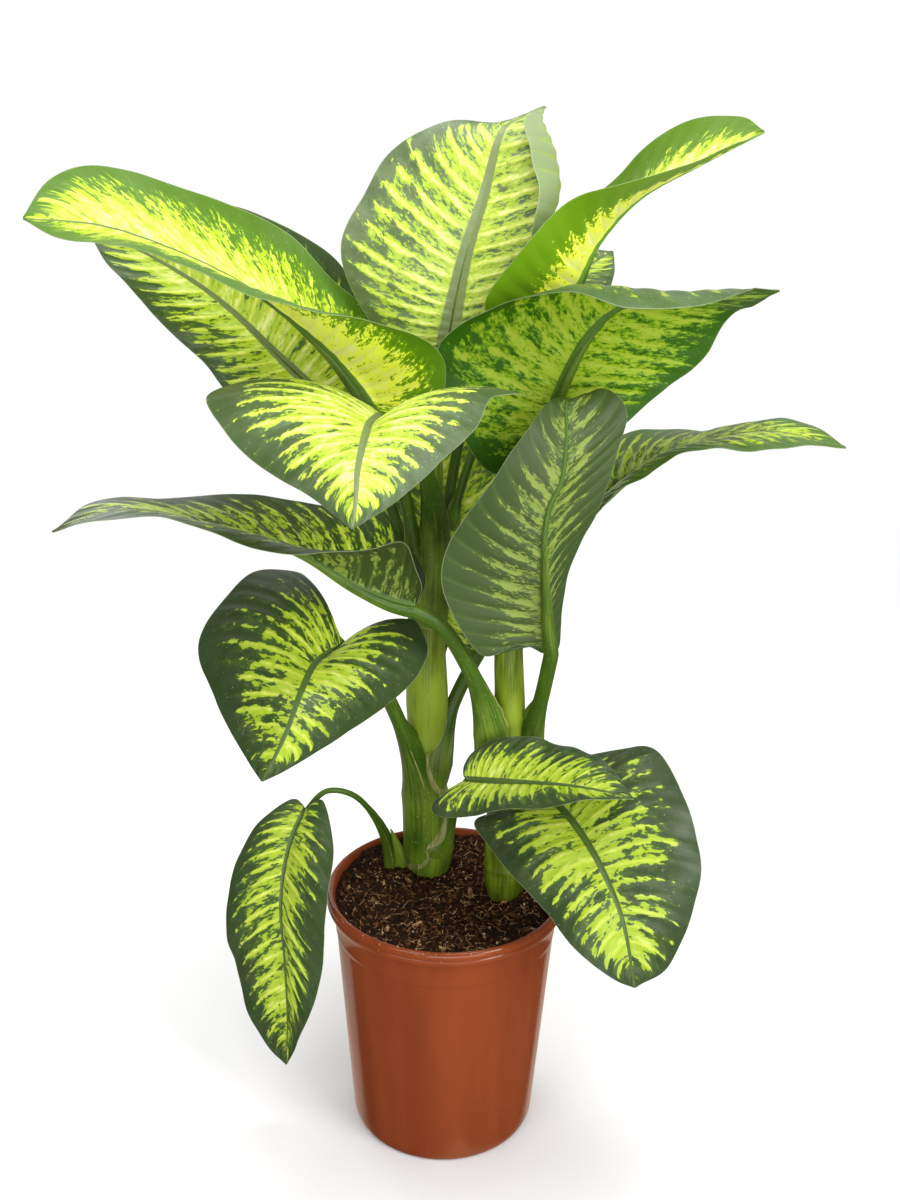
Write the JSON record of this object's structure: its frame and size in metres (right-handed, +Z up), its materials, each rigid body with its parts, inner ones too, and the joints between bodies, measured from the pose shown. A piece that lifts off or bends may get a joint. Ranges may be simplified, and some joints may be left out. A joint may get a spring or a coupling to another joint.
{
  "type": "potted dieffenbachia",
  "caption": "Potted dieffenbachia with broad variegated leaves on thick canes, standing in peat in a round nursery pot.",
  "frame": {"origin": "centre of the pot's flat underside", "axes": "+Z up along the plant's height, -Y towards the side that the picture shows, +X to the right in it"},
  "size_m": [0.6052, 0.5184, 0.8795],
  "materials": {
    "pot_plastic": "glossy terracotta-brown moulded plastic",
    "peat": "dark loose peat with fibres and small chips",
    "cane": "smooth waxy green stem with fine streaks",
    "leaf": "waxy leaf, dark green edge zone with a yellow-green mottled centre"
  },
  "bodies": {
    "root": {"pot": "pot_plastic", "soil": "peat", "cane_left": "cane", "cane_right": "cane", "leaf_hanging": "leaf", "leaf_low_front": "leaf", "leaf_low_right": "leaf", "leaf_low_left": "leaf", "leaf_right": "leaf", "leaf_front_upright": "leaf", "leaf_left": "leaf", "leaf_behind_canes": "leaf", "leaf_front": "leaf", "leaf_back_left": "leaf", "leaf_top_left": "leaf", "leaf_back": "leaf", "leaf_top_right": "leaf", "leaf_right_upright": "leaf", "leaf_top_centre": "leaf"}
  },
  "joints": []
}
